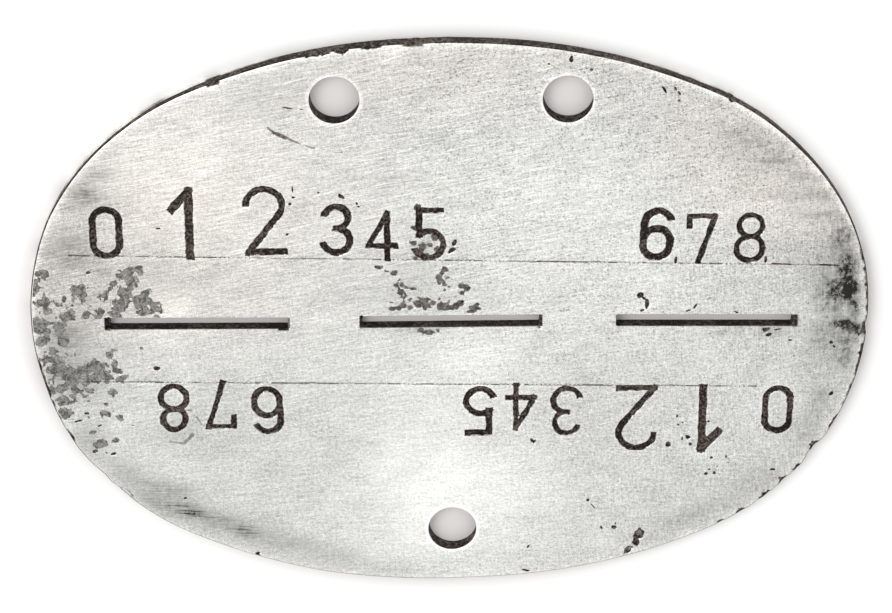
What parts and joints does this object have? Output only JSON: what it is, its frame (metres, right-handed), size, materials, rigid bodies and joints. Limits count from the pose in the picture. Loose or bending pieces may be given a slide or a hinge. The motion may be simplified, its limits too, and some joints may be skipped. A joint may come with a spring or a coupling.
{
  "type": "identification disc",
  "caption": "Flat oval sheet-metal identification disc with cord holes near both long edges, a slotted break line across the middle and stamped figures on each half.",
  "frame": {"origin": "centre of the disc's outline, at the face that it rests on", "axes": "+X along the disc's length, +Y towards the pair of cord holes, +Z out of the stamped face"},
  "size_m": [0.07, 0.05, 0.0013],
  "materials": {
    "disc_plate": "worn bare zinc sheet, finely brushed, with dark stamped figures and grey patina"
  },
  "bodies": {
    "root": {"disc_plate": "disc_plate"}
  },
  "joints": []
}
